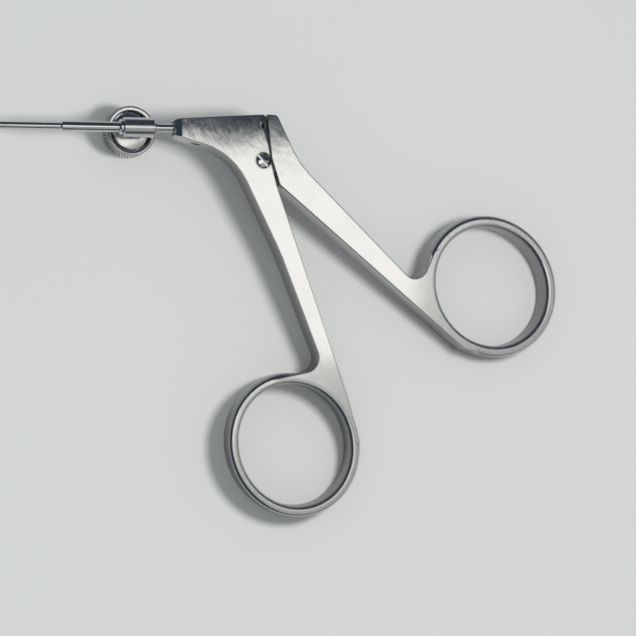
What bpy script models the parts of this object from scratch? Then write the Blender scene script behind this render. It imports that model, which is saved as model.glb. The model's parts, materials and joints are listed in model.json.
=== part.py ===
"""Endoscopic biopsy forceps with ring handles, a cleaning port and double-action cups.

Every piece is drawn in the plane of the handles: the origin is the pivot of the handles, +X runs
back along the shaft towards the handles, +Y points away from the finger rings and +Z is the side
that faces up when the instrument lies down. The empty "instrument" then tips that plane to the
slope at which it rests on its port cap and both rings.
"""

import math

import bmesh
import bpy
from mathutils import Matrix, Vector

MM = 0.001

# Handles
THICKNESS = 5.3 * MM
EDGE_ROUND = 0.25 * MM
RING_THICKNESS = 5.2 * MM
RING_ROUND = 0.9 * MM
LOWER_RING_CENTRE = (5.0 * MM, -59.5 * MM)
LOWER_RING_HALF_LENGTH = 13.1 * MM
LOWER_RING_HALF_WIDTH = 11.9 * MM
LOWER_RING_WIDTH = 2.25 * MM
LOWER_RING_LEAN = math.radians(-60)
RIGHT_RING_CENTRE = (51.9 * MM, -27.3 * MM)
RIGHT_RING_HALF_LENGTH = 13.8 * MM
RIGHT_RING_HALF_WIDTH = 12.75 * MM
RIGHT_RING_WIDTH = 2.5 * MM
RIGHT_RING_LEAN = math.radians(-38)

# Corners of the two arms (x, y, rounding); those near a ring are measured from its centre
SHOULDER = (12.15 * MM, 8.8 * MM, 25 * MM)
FORGED_CORNER = (14.4 * MM, -0.6 * MM, 0)
LOWER_RING_SEAT = (-6.4 * MM, 12.5 * MM, 0)
LOWER_RING_LANDING = (-2.9 * MM, 14.1 * MM, 0)
LOWER_CROTCH = (6.75 * MM, 15.7 * MM, 3.0 * MM)
FIXED_ARM_WAIST = (2.85 * MM, -19.0 * MM, 60 * MM)
HEAD_BEND = (-6.6 * MM, 1.55 * MM, 14 * MM)
CHIN = (-15.6 * MM, 4.0 * MM, 3.0 * MM)
MOVING_SHOULDER = (3.4 * MM, 9.5 * MM, 1.2 * MM)
MOVING_BEND = (8.0 * MM, -0.62 * MM, 16 * MM)
RIGHT_CROTCH = (-17.7 * MM, 0.1 * MM, 2.9 * MM)
RIGHT_RING_LANDING = (-13.6 * MM, 7.9 * MM, 0)
RIGHT_RING_SEAT = (-10.8 * MM, 9.6 * MM, 0)
RIGHT_RING_HEEL = (-4.3 * MM, -14.3 * MM, 0)
RIGHT_ARM_FOOT = (-7.6 * MM, -13.45 * MM, 0)

# Seam between the head and the moving handle, and the travel that its gaps allow
SEAM_TOP = (0.93 * MM, 9.6 * MM)
SEAM_KNEE = (1.62 * MM, 0.5 * MM)
SEAM_FOOT = (3.08 * MM, -5.2 * MM)
SEAM_TOP_GAP = 0.46 * MM
SEAM_KNEE_GAP = 0.28 * MM
SEAM_FOOT_GAP = 0.64 * MM
CLOSING_ANGLE = math.radians(5.5)
OPENING_ANGLE = math.radians(1.5)

# Head
NOSE_X = -18.45 * MM
NOSE_TOP = 8.35 * MM
NOSE_BOTTOM = 5.0 * MM
NOSE_CHAMFER_LENGTH = 1.25 * MM
NOSE_CHAMFER_DEPTH = 1.35 * MM
NOSE_TOP_ROUND = 0.5 * MM
NOSE_BOTTOM_ROUND = 0.7 * MM
SEAM_ROUND = 0.15 * MM
EDGE_CHAMFER = 0.15 * MM
SLOT_WIDTH = 2.3 * MM
SLOT_RELIEF = 0.35 * MM
REAR_BEVEL_WIDTH = 1.3 * MM
REAR_BEVEL_DEPTH = 0.5 * MM
REAR_BEVEL_END = 2.4 * MM
BALL_WINDOW = (0.35 * MM, 7.2 * MM)
BALL_WINDOW_RADIUS = 0.7 * MM

# Pivot screw
SHANK_RADIUS = 1.1 * MM
SCREW_HEAD_RADIUS = 1.58 * MM
SCREW_HEAD_HEIGHT = 1.0 * MM
SCREW_RECESS_DEPTH = 1.25 * MM
SCREW_SLOT_WIDTH = 0.5 * MM
SCREW_SLOT_DEPTH = 0.4 * MM
SCREW_SLOT_ANGLE = math.radians(-49)

# Tongue of the moving handle and the ball that it pulls
TONGUE_THICKNESS = 2.0 * MM
TONGUE_RADIUS = 2.7 * MM
SHAFT_HEIGHT = 6.74 * MM
BALL_RADIUS = 0.9 * MM
TONGUE_PRONG = 0.85 * MM
TONGUE_TOP = 8.7 * MM

# Shaft
ROD_RADIUS = 0.25 * MM
TUBE_RADIUS = 0.75 * MM
TUBE_BORE_RADIUS = 0.5 * MM
SLEEVE_RADIUS = 1.07 * MM
SLEEVE_CHAMFER = 0.28 * MM
SLEEVE_LENGTH = 12.6 * MM
COLLAR_RADIUS = 1.6 * MM
COLLAR_LENGTH = 0.8 * MM
COLLAR_CHAMFER = 0.3 * MM
REAR_TUBE_RADIUS = 0.86 * MM
REAR_TUBE_BORE_RADIUS = 0.5 * MM
REAR_TUBE_SEAT = 7.0 * MM
ROD_SEAL_LENGTH = 0.8 * MM
WORKING_LENGTH = 280.0 * MM

# Port body
BARREL_FRONT = -28.85 * MM
BARREL_LENGTH = 6.4 * MM
BARREL_RADIUS = 2.02 * MM
TUBE_SEAT = 2.0 * MM
HUB_RADIUS = 1.25 * MM
HUB_LENGTH = 0.5 * MM
PORT_OFFSET = -0.5 * MM
DOME_RADIUS = 3.45 * MM
DOME_TOP = 1.3 * MM
DOME_FOOT = 4.35 * MM
THREAD_RADIUS = 3.88 * MM
THREAD_TOP = 5.6 * MM
PORT_END = 7.9 * MM
PORT_BORE_RADIUS = 2.1 * MM
PORT_BORE_TAPER = 0.12 * MM
PORT_BORE_DEPTH = 4.6 * MM
PORT_CHANNEL_RADIUS = 0.4 * MM

# Port cap
CAP_RADIUS = 5.2 * MM
CAP_TOP = 4.3 * MM
CAP_HEIGHT = 5.0 * MM
CAP_BORE_RADIUS = 4.1 * MM
CAP_LIP_RADIUS = 4.6 * MM
CAP_LIP_DEPTH = 0.35 * MM
CAP_FLOOR = 0.9 * MM
CAP_CHAMFER = 0.3 * MM
CAP_LAND = 0.5 * MM
KNURL_COUNT = 54
KNURL_DEPTH = 0.2 * MM
SEAL_RADIUS = 3.4 * MM
SEAL_THICKNESS = 0.45 * MM

# Set screw in the underside of the head, which holds the rear tube
SET_SCREW_X = -13.7 * MM
SET_SCREW_RADIUS = 0.95 * MM
SET_SCREW_RECESS = 0.35 * MM
SET_SCREW_POINT = 0.45 * MM
SET_SCREW_SOCKET_RADIUS = 0.45 * MM
SET_SCREW_SOCKET_DEPTH = 0.7 * MM

# Cups and their drive
JAW_OPEN_ANGLE = math.radians(35)
JAW_LENGTH = 3.1 * MM
JAW_RADIUS = 0.8 * MM
JAW_WALL = 0.2 * MM
JAW_PLATE = 0.25 * MM
JAW_EYE_RADIUS = 0.55 * MM
JAW_NECK = 0.95 * MM
JAW_FACE_GAP = 0.03 * MM
JAW_PIN_RADIUS = 0.22 * MM
DRIVE_PIN_RADIUS = 0.17 * MM
DRIVE_PIN_OPEN = 0.9 * MM
DRIVE_BLADE = 0.2 * MM
DRIVE_BLADE_HEIGHT = 0.62 * MM
DRIVE_BLADE_LENGTH = 1.5 * MM
DRIVE_BLADE_LAP = 0.1 * MM
DRIVE_SOCKET_LENGTH = 0.7 * MM
DRIVE_SOCKET_WALL = 0.13 * MM
SLOT_RIM = 0.14 * MM
HOUSING_RADIUS = 0.83 * MM
HOUSING_FRONT = 0.7 * MM
HOUSING_SLOT = 4.0 * MM
HOUSING_BACK = 5.0 * MM
SPIGOT_RADIUS = 0.47 * MM
SPIGOT_LENGTH = 1.5 * MM

# Clearances
RUNNING = 0.04 * MM
SEATED = 0.03 * MM
THROUGH = 2.0 * MM
SCREW_PLAY = 0.08 * MM
LAP_STEP = 0.004 * MM

# Places that follow from the sizes above
HALF = THICKNESS / 2
BARREL_BACK = BARREL_FRONT + BARREL_LENGTH
BACK_SEAT = BARREL_BACK + HUB_LENGTH - ROD_SEAL_LENGTH - TUBE_SEAT
PORT_X = BARREL_FRONT + BARREL_LENGTH / 2 + PORT_OFFSET
JAW_PIN_X = BARREL_FRONT - WORKING_LENGTH + JAW_LENGTH
TUBE_END = JAW_PIN_X + HOUSING_BACK
ROD_TRAVEL_PER_RADIAN = SHAFT_HEIGHT
JAW_TURN_PER_LEVER_TURN = JAW_OPEN_ANGLE / CLOSING_ANGLE
SLOT_REACH = TONGUE_RADIUS + SLOT_RELIEF

FINISHES = {
    "satin_steel": ((0.78, 0.78, 0.77), 0.3, 1.0),
    "polished_steel": ((0.72, 0.73, 0.74), 0.12, 1.0),
    "seal_rubber": ((0.75, 0.73, 0.68), 0.6, 0.0),
}


def finish(name):
    """Returns the named finish, made once."""
    material = bpy.data.materials.get(name)
    if material is None:
        colour, roughness, metallic = FINISHES[name]
        material = bpy.data.materials.new(name)
        material.use_nodes = True
        shader = material.node_tree.nodes["Principled BSDF"]
        shader.inputs["Base Color"].default_value = (*colour, 1.0)
        shader.inputs["Roughness"].default_value = roughness
        shader.inputs["Metallic"].default_value = metallic
        material.diffuse_color = (*colour, 1.0)
    return material


def mesh_object(name, bm):
    """Turns a bmesh into an object with outward faces."""
    bmesh.ops.recalc_face_normals(bm, faces=bm.faces)
    mesh = bpy.data.meshes.new(name)
    bm.to_mesh(mesh)
    bm.free()
    piece = bpy.data.objects.new(name, mesh)
    bpy.context.scene.collection.objects.link(piece)
    return piece


def bake(piece):
    """Replaces an object's mesh by its evaluated one and clears its modifiers."""
    graph = bpy.context.evaluated_depsgraph_get()
    mesh = bpy.data.meshes.new_from_object(piece.evaluated_get(graph))
    piece.modifiers.clear()
    piece.data = mesh


def combine(piece, tool, operation):
    """Applies a boolean of a tool to a piece and removes the tool."""
    modifier = piece.modifiers.new(operation.lower(), "BOOLEAN")
    modifier.operation = operation
    modifier.object = tool
    bake(piece)
    bpy.data.objects.remove(tool)


def soften(piece, width, segments=2):
    """Rounds the sharp edges of a piece."""
    modifier = piece.modifiers.new("edges", "BEVEL")
    modifier.width = width
    modifier.segments = segments
    modifier.limit_method = "ANGLE"
    modifier.angle_limit = math.radians(40)
    bake(piece)


def arc(centre, radius, start, end, steps):
    """Returns points on an arc, both ends included."""
    angles = [start + (end - start) * i / steps for i in range(steps + 1)]
    return [(centre[0] + radius * math.cos(a), centre[1] + radius * math.sin(a)) for a in angles]


def filleted(corners, step=math.radians(9)):
    """Returns an outline with its corners (x, y, radius) rounded by tangent arcs."""
    points = []
    count = len(corners)
    for i, (x, y, radius) in enumerate(corners):
        corner = Vector((x, y))
        before = (Vector(corners[i - 1][:2]) - corner).normalized()
        after = (Vector(corners[(i + 1) % count][:2]) - corner).normalized()
        if radius == 0:
            points.append((x, y))
            continue
        half = before.angle(after) / 2
        centre = corner + (before + after).normalized() * (radius / math.sin(half))
        first = corner + before * (radius / math.tan(half)) - centre
        last = corner + after * (radius / math.tan(half)) - centre
        start = math.atan2(first.y, first.x)
        turn = (math.atan2(last.y, last.x) - start + math.pi) % (2 * math.pi) - math.pi
        steps = max(2, round(abs(turn) / step))
        points += arc(centre, radius, start, start + turn, steps)
    return points


def prism(name, outline, low, high):
    """Extrudes an outline along Z."""
    bm = bmesh.new()
    face = bm.faces.new([bm.verts.new((x, y, low)) for x, y in outline])
    walls = bmesh.ops.extrude_face_region(bm, geom=[face])
    raised = [v for v in walls["geom"] if isinstance(v, bmesh.types.BMVert)]
    bmesh.ops.translate(bm, verts=raised, vec=(0, 0, high - low))
    return mesh_object(name, bm)


def box(name, low, high):
    """Returns a block between two corners."""
    outline = [(low[0], low[1]), (high[0], low[1]), (high[0], high[1]), (low[0], high[1])]
    return prism(name, outline, low[2], high[2])


def turned(name, profile, segments=32, hollow=False):
    """Turns a profile of (radius, height) points about Z.

    A solid's profile starts and ends on the axis, and a hollow one is a closed loop off it.
    """
    bm = bmesh.new()
    loops = []
    for radius, height in profile:
        if radius == 0:
            loops.append([bm.verts.new((0, 0, height))])
        else:
            circle = arc((0, 0), radius, 0, 2 * math.pi, segments)[:-1]
            loops.append([bm.verts.new((x, y, height)) for x, y in circle])
    pairs = list(zip(loops, loops[1:]))
    if hollow:
        pairs.append((loops[-1], loops[0]))
    for first, second in pairs:
        for i in range(segments):
            j = (i + 1) % segments
            corners = [first[i % len(first)], first[j % len(first)],
                       second[j % len(second)], second[i % len(second)]]
            bm.faces.new(list(dict.fromkeys(corners)))
    return mesh_object(name, bm)


def aim(piece, start, direction):
    """Turns a piece from +Z to a direction, sets it at a point and fixes that in its mesh."""
    turn = Vector((0, 0, 1)).rotation_difference(Vector(direction)).to_matrix().to_4x4()
    piece.data.transform(Matrix.Translation(start) @ turn)
    return piece


def rod(name, radius, start, end, segments=24):
    """Returns a round bar between two points."""
    line = Vector(end) - Vector(start)
    bar = turned(name, [(0, 0), (radius, 0), (radius, line.length), (0, line.length)], segments)
    return aim(bar, start, line)


def tube(name, radius, bore, start, end, segments=24, front_chamfer=0.0):
    """Returns a tube along the shaft's axis from x = start to x = end."""
    length = end - start
    profile = [(bore, 0), (radius - front_chamfer, 0)]
    if front_chamfer:
        profile.append((radius, front_chamfer))
    profile += [(radius, length), (bore, length)]
    return aim(turned(name, profile, segments, hollow=True), on_axis(start), (1, 0, 0))


def stepped(name, steps, end, segments=24):
    """Returns a bar along the shaft's axis that has each radius of (radius, start) in turn."""
    start = steps[0][1]
    profile = [(0, 0)]
    stops = [x for _, x in steps[1:]] + [end]
    for (radius, x), stop in zip(steps, stops):
        profile += [(radius, x - start), (radius, stop - start)]
    profile.append((0, end - start))
    return aim(turned(name, profile, segments), on_axis(start), (1, 0, 0))


def on_axis(x):
    """Returns the point of the shaft's axis at x."""
    return (x, SHAFT_HEIGHT, 0)


def oval(centre, half_length, half_width, lean, grow=0.0, steps=64):
    """Returns the points of an oval that leans by an angle, grown by a distance all round."""
    points = []
    for i in range(steps):
        angle = 2 * math.pi * i / steps
        along = (half_length + grow) * math.cos(angle)
        across = (half_width + grow) * math.sin(angle)
        points.append((centre[0] + along * math.cos(lean) - across * math.sin(lean),
                       centre[1] + along * math.sin(lean) + across * math.cos(lean)))
    return points


def finger_ring(name, centre, half_length, half_width, lean, width):
    """Sweeps the rounded ring section round the oval of a finger opening."""
    low, high, near, far = -RING_THICKNESS / 2, RING_THICKNESS / 2, 0.0, width
    section = filleted([(near, low, RING_ROUND), (far, low, RING_ROUND),
                        (far, high, RING_ROUND), (near, high, RING_ROUND)], math.radians(30))
    bm = bmesh.new()
    loops = []
    for grow, height in section:
        outline = oval(centre, half_length, half_width, lean, grow)
        loops.append([bm.verts.new((x, y, height)) for x, y in outline])
    for first, second in zip(loops, loops[1:] + loops[:1]):
        for i in range(len(first)):
            j = (i + 1) % len(first)
            bm.faces.new((first[i], first[j], second[j], second[i]))
    return mesh_object(name, bm)


def add_ring(handle, centre, half_length, half_width, lean, width):
    """Opens the end of an arm and joins the finger ring to it."""
    opening = oval(centre, half_length, half_width, lean, width / 2)
    combine(handle, prism("opening", opening, -THICKNESS, THICKNESS), "DIFFERENCE")
    combine(handle, finger_ring("ring", centre, half_length, half_width, lean, width), "UNION")


def beside(centre, corner):
    """Returns a corner that is measured from a ring's centre in the plane's own axes."""
    return (centre[0] + corner[0], centre[1] + corner[1], corner[2])


def seam(side):
    """Returns the seam's edge on the fixed side (-1) or the moving side (+1), top to foot."""
    places = ((SEAM_TOP, SEAM_TOP_GAP), (SEAM_KNEE, SEAM_KNEE_GAP), (SEAM_FOOT, SEAM_FOOT_GAP))
    return [(x + side * gap / 2, y) for (x, y), gap in places]


def fixed_handle():
    """The head, the fixed arm and the lower ring, milled as one piece."""
    top, knee, foot = seam(-1)
    centre = LOWER_RING_CENTRE
    outline = filleted([
        (NOSE_X, NOSE_TOP, NOSE_TOP_ROUND),
        (*top, SEAM_ROUND),
        (*knee, 0),
        (*foot, 0),
        beside(centre, SHOULDER),
        beside(centre, FORGED_CORNER),
        (*centre, 0),
        beside(centre, LOWER_RING_SEAT),
        beside(centre, LOWER_RING_LANDING),
        beside(centre, LOWER_CROTCH),
        FIXED_ARM_WAIST,
        HEAD_BEND,
        CHIN,
        (NOSE_X, NOSE_BOTTOM, NOSE_BOTTOM_ROUND),
    ])
    handle = prism("fixed_handle", outline, -HALF, HALF)
    soften(handle, EDGE_ROUND)
    add_ring(handle, centre, LOWER_RING_HALF_LENGTH, LOWER_RING_HALF_WIDTH, LOWER_RING_LEAN,
             LOWER_RING_WIDTH)
    cut_nose(handle)
    cut_tongue_slot(handle)
    cut_screw_seat(handle)
    cut_shaft_bores(handle)
    cut_set_screw_hole(handle)
    cut_rear_bevel(handle)
    return handle


def cut_nose(handle):
    """Slopes the upper and lower faces down to the shaft at the front of the head."""
    reach = 3 * NOSE_CHAMFER_LENGTH
    slope = NOSE_CHAMFER_DEPTH / NOSE_CHAMFER_LENGTH
    for side in (-1, 1):
        profile = [(NOSE_X - reach, HALF - NOSE_CHAMFER_DEPTH - reach * slope),
                   (NOSE_X + NOSE_CHAMFER_LENGTH + reach, HALF + reach * slope),
                   (NOSE_X - reach, HALF + reach * slope)]
        wedge = prism("wedge", profile, -NOSE_TOP - THROUGH, NOSE_TOP + THROUGH)
        wedge.data.transform(Matrix.Rotation(math.pi / 2, 4, "X"))
        if side < 0:
            wedge.data.transform(Matrix.Rotation(math.pi, 4, "X"))
        combine(handle, wedge, "DIFFERENCE")


def cut_tongue_slot(handle):
    """Saws the slot between the cheeks, open at the top and at the seam."""
    right, high = SEAM_FOOT[0] + THROUGH, SEAM_TOP[1] + THROUGH
    outline = arc((0, 0), SLOT_REACH, math.pi, 1.5 * math.pi, 10)
    outline += [(right, -SLOT_REACH), (right, high), (-SLOT_REACH, high)]
    combine(handle, prism("slot", outline, -SLOT_WIDTH / 2, SLOT_WIDTH / 2), "DIFFERENCE")


def cut_screw_seat(handle):
    """Drills for the pivot screw and sinks its head into the upper cheek."""
    hole = rod("hole", SHANK_RADIUS + SEATED, (0, 0, -THICKNESS), (0, 0, THICKNESS), 28)
    combine(handle, hole, "DIFFERENCE")
    seat = rod("seat", SCREW_HEAD_RADIUS + SCREW_PLAY, (0, 0, HALF - SCREW_RECESS_DEPTH),
               (0, 0, THICKNESS), 32)
    combine(handle, seat, "DIFFERENCE")


def cut_shaft_bores(handle):
    """Bores the head for the rear tube and for the pull rod behind it."""
    bore = stepped("bore", [(REAR_TUBE_RADIUS + SEATED, NOSE_X - THROUGH),
                            (REAR_TUBE_BORE_RADIUS, NOSE_X + REAR_TUBE_SEAT)], -SLOT_REACH / 2)
    combine(handle, bore, "DIFFERENCE")


def set_screw_line():
    """Returns where the set screw's axis leaves the underside, and its direction inwards."""
    slope = (HEAD_BEND[1] - CHIN[1]) / (HEAD_BEND[0] - CHIN[0])
    mouth = Vector((SET_SCREW_X, CHIN[1] + slope * (SET_SCREW_X - CHIN[0]), 0))
    inwards = Vector((-slope, 1, 0)).normalized()
    return mouth, inwards


def set_screw_depth():
    """Returns how far the set screw's tip lies from the underside."""
    mouth, inwards = set_screw_line()
    return (SHAFT_HEIGHT - REAR_TUBE_RADIUS - SEATED - mouth.y) / inwards.y - 3 * SEATED


def cut_set_screw_hole(handle):
    """Drills the set screw's hole through to the rear tube."""
    mouth, inwards = set_screw_line()
    end = mouth + inwards * (set_screw_depth() + REAR_TUBE_RADIUS / 2)
    hole = rod("hole", SET_SCREW_RADIUS + SEATED, mouth - inwards * THROUGH, end, 20)
    combine(handle, hole, "DIFFERENCE")


def cut_rear_bevel(handle):
    """Bevels the upper cheek along the seam and opens the window over the ball."""
    top, knee, _ = seam(-1)
    share = (top[1] - REAR_BEVEL_END) / (top[1] - knee[1])
    end = Vector((top[0] + share * (knee[0] - top[0]), REAR_BEVEL_END, HALF))
    start = Vector((top[0] - REAR_BEVEL_WIDTH, top[1], HALF))
    edge = Vector((top[0], top[1], HALF - REAR_BEVEL_DEPTH))
    normal = (end - start).cross(edge - start).normalized()
    if normal.z < 0:
        normal.negate()
    size = 2 * THICKNESS
    block = box("bevel", (-size, -size, 0), (size, size, size))
    combine(handle, aim(block, (start + end) / 2, normal), "DIFFERENCE")
    window = rod("window", BALL_WINDOW_RADIUS, (*BALL_WINDOW, 0), (*BALL_WINDOW, THICKNESS), 20)
    combine(handle, window, "DIFFERENCE")


def moving_handle():
    """The second arm with its ring, and the tongue that pulls the rod."""
    top, knee, foot = seam(1)
    centre = RIGHT_RING_CENTRE
    outline = filleted([
        (*top, SEAM_ROUND),
        MOVING_SHOULDER,
        MOVING_BEND,
        beside(centre, RIGHT_CROTCH),
        beside(centre, RIGHT_RING_LANDING),
        beside(centre, RIGHT_RING_SEAT),
        (*centre, 0),
        beside(centre, RIGHT_RING_HEEL),
        beside(centre, RIGHT_ARM_FOOT),
        (*foot, 0),
        (*knee, 0),
    ])
    handle = prism("moving_handle", outline, -HALF, HALF)
    soften(handle, EDGE_ROUND)
    add_ring(handle, centre, RIGHT_RING_HALF_LENGTH, RIGHT_RING_HALF_WIDTH, RIGHT_RING_LEAN,
             RIGHT_RING_WIDTH)
    combine(handle, tongue(), "UNION")
    hole = rod("hole", SHANK_RADIUS + RUNNING, (0, 0, -THICKNESS), (0, 0, THICKNESS), 28)
    combine(handle, hole, "DIFFERENCE")
    return handle


def tongue():
    """The flat tongue that turns on the pivot screw and holds the ball in its fork."""
    inside = SEAM_FOOT[0] + SEAM_FOOT_GAP
    front = -BALL_RADIUS - RUNNING - TONGUE_PRONG
    outline = filleted([
        (front, TONGUE_TOP, 0.4 * MM),
        (inside, TONGUE_TOP, 0),
        (inside, -TONGUE_RADIUS, 0),
        (-TONGUE_RADIUS, -TONGUE_RADIUS, TONGUE_RADIUS * 0.95),
        (-TONGUE_RADIUS, SHAFT_HEIGHT / 2, 1.0 * MM),
        (front, SHAFT_HEIGHT / 2 + 1.2 * MM, 0.5 * MM),
    ])
    plate = prism("tongue", outline, -TONGUE_THICKNESS / 2, TONGUE_THICKNESS / 2)
    reach = BALL_RADIUS + RUNNING
    fork = arc((0, SHAFT_HEIGHT), reach, math.pi, 2 * math.pi, 12)
    fork += [(reach, TONGUE_TOP + THROUGH), (-reach, TONGUE_TOP + THROUGH)]
    combine(plate, prism("fork", fork, -TONGUE_THICKNESS, TONGUE_THICKNESS), "DIFFERENCE")
    slit = 2 * ROD_RADIUS
    groove = box("groove", (front - THROUGH, SHAFT_HEIGHT - slit, -slit),
                 (0, TONGUE_TOP + THROUGH, slit))
    combine(plate, groove, "DIFFERENCE")
    return plate


def pivot_screw():
    """The slotted screw that both handles turn on."""
    top = HALF - (SCREW_RECESS_DEPTH - SCREW_HEAD_HEIGHT) + SEATED
    shoulder = top - SCREW_HEAD_HEIGHT
    chamfer = EDGE_CHAMFER
    screw = turned("pivot_screw", [
        (0, -HALF + SEATED), (SHANK_RADIUS - chamfer, -HALF + SEATED),
        (SHANK_RADIUS, -HALF + SEATED + chamfer), (SHANK_RADIUS, shoulder),
        (SCREW_HEAD_RADIUS, shoulder), (SCREW_HEAD_RADIUS, top - chamfer),
        (SCREW_HEAD_RADIUS - chamfer, top), (0, top)], 28)
    reach = SCREW_HEAD_RADIUS + THROUGH
    slot = box("slot", (-reach, -SCREW_SLOT_WIDTH / 2, top - SCREW_SLOT_DEPTH),
               (reach, SCREW_SLOT_WIDTH / 2, top + THROUGH))
    slot.data.transform(Matrix.Rotation(SCREW_SLOT_ANGLE, 4, "Z"))
    combine(screw, slot, "DIFFERENCE")
    return screw


def set_screw():
    """The short socket screw that holds the rear tube in the head."""
    mouth, inwards = set_screw_line()
    length = set_screw_depth() - SET_SCREW_RECESS
    chamfer = EDGE_CHAMFER
    radius = SET_SCREW_RADIUS
    screw = turned("set_screw", [
        (0, SET_SCREW_SOCKET_DEPTH), (SET_SCREW_SOCKET_RADIUS, SET_SCREW_SOCKET_DEPTH),
        (SET_SCREW_SOCKET_RADIUS, 0), (radius - chamfer, 0), (radius, chamfer),
        (radius, length - SET_SCREW_POINT), (radius / 3, length), (0, length)], 18)
    return aim(screw, mouth + inwards * SET_SCREW_RECESS, inwards)


def rear_tube():
    """The tube that joins the port body to the head."""
    return tube("rear_tube", REAR_TUBE_RADIUS, REAR_TUBE_BORE_RADIUS,
                BACK_SEAT + ROD_SEAL_LENGTH, NOSE_X + REAR_TUBE_SEAT - SEATED)


def barrel():
    """The barrel across the shaft, which joins the port to the tubes."""
    chamfer = EDGE_CHAMFER
    body = aim(turned("barrel", [
        (0, 0), (BARREL_RADIUS - chamfer, 0), (BARREL_RADIUS, chamfer),
        (BARREL_RADIUS, BARREL_LENGTH - chamfer), (BARREL_RADIUS - chamfer, BARREL_LENGTH),
        (HUB_RADIUS, BARREL_LENGTH), (HUB_RADIUS, BARREL_LENGTH + HUB_LENGTH),
        (0, BARREL_LENGTH + HUB_LENGTH)], 32), on_axis(BARREL_FRONT), (1, 0, 0))
    bore = stepped("bore", [(SLEEVE_RADIUS + SEATED, BARREL_FRONT - THROUGH),
                            (TUBE_BORE_RADIUS, BARREL_FRONT + TUBE_SEAT),
                            (REAR_TUBE_RADIUS + SEATED, BACK_SEAT)], BARREL_BACK + HUB_LENGTH + THROUGH)
    combine(body, bore, "DIFFERENCE")
    channel = rod("channel", PORT_CHANNEL_RADIUS, (PORT_X, SHAFT_HEIGHT, -2 * BARREL_RADIUS),
                  (PORT_X, SHAFT_HEIGHT, 0), 16)
    combine(body, channel, "DIFFERENCE")
    return body


def port_neck():
    """The domed neck of the cleaning port, saddled on the barrel, with its thread and bore."""
    chamfer = EDGE_CHAMFER
    dome = [(0, -DOME_TOP)]
    for i in range(1, 9):
        angle = math.pi / 2 * i / 8
        dome.append((DOME_RADIUS * math.sin(angle), -DOME_FOOT + (DOME_FOOT - DOME_TOP) * math.cos(angle)))
    thread_start = THREAD_TOP + THREAD_RADIUS - DOME_RADIUS
    dome += [(DOME_RADIUS, -THREAD_TOP), (THREAD_RADIUS, -thread_start),
             (THREAD_RADIUS, -PORT_END + chamfer), (THREAD_RADIUS - chamfer, -PORT_END), (0, -PORT_END)]
    neck = turned("port_neck", dome, 32)
    mouth = PORT_BORE_RADIUS
    bottom = -PORT_END + PORT_BORE_DEPTH
    bore = turned("bore", [(0, -PORT_END - THROUGH), (mouth, -PORT_END - THROUGH), (mouth, -PORT_END),
                           (mouth - PORT_BORE_TAPER, bottom), (PORT_CHANNEL_RADIUS, bottom),
                           (PORT_CHANNEL_RADIUS, 0), (0, 0)], 24)
    combine(neck, bore, "DIFFERENCE")
    neck.data.transform(Matrix.Translation((PORT_X, SHAFT_HEIGHT, 0)))
    saddle = rod("saddle", BARREL_RADIUS + SEATED, on_axis(PORT_X - 2 * DOME_RADIUS),
                 on_axis(PORT_X + 2 * DOME_RADIUS), 32)
    combine(neck, saddle, "DIFFERENCE")
    return neck


def rod_seal():
    """The seal round the rod behind the port, held by the end of the rear tube."""
    return tube("rod_seal", REAR_TUBE_RADIUS, ROD_RADIUS + SEATED, BACK_SEAT + SEATED,
                BACK_SEAT + ROD_SEAL_LENGTH - SEATED, 20)


def sleeve():
    """The thicker tube that stiffens the rear of the shaft."""
    return tube("reinforcing_sleeve", SLEEVE_RADIUS, TUBE_RADIUS + SEATED,
                BARREL_FRONT - SLEEVE_LENGTH, BARREL_FRONT + TUBE_SEAT - SEATED,
                front_chamfer=SLEEVE_CHAMFER)


def collar():
    """The small collar that closes the mouth of the barrel round the sleeve."""
    end = BARREL_FRONT - SEATED
    return tube("sleeve_collar", COLLAR_RADIUS, SLEEVE_RADIUS + SEATED, end - COLLAR_LENGTH, end, 28,
                front_chamfer=COLLAR_CHAMFER)


def shaft_tube():
    """The thin semi-rigid tube from the port body to the cups."""
    return tube("shaft_tube", TUBE_RADIUS, TUBE_BORE_RADIUS, TUBE_END + SEATED,
                BARREL_FRONT + TUBE_SEAT - SEATED, 16)


def pull_rod():
    """The wire that joins the ball to the drive blade."""
    start = drive_pin_x() + DRIVE_BLADE_LENGTH + DRIVE_BLADE_LAP
    return rod("pull_rod", ROD_RADIUS, on_axis(start), on_axis(0), 10)


def rod_ball():
    """The ball on the rear end of the pull rod."""
    steps = 12
    profile = [(BALL_RADIUS * math.sin(math.pi * i / steps), -BALL_RADIUS * math.cos(math.pi * i / steps))
               for i in range(1, steps)]
    profile = [(0, -BALL_RADIUS)] + profile + [(0, BALL_RADIUS)]
    ball = aim(turned("rod_ball", profile, 24), on_axis(0), (1, 0, 0))
    bore = rod("bore", ROD_RADIUS + SEATED, on_axis(-2 * BALL_RADIUS), on_axis(SEATED), 12)
    combine(ball, bore, "DIFFERENCE")
    return ball


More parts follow.
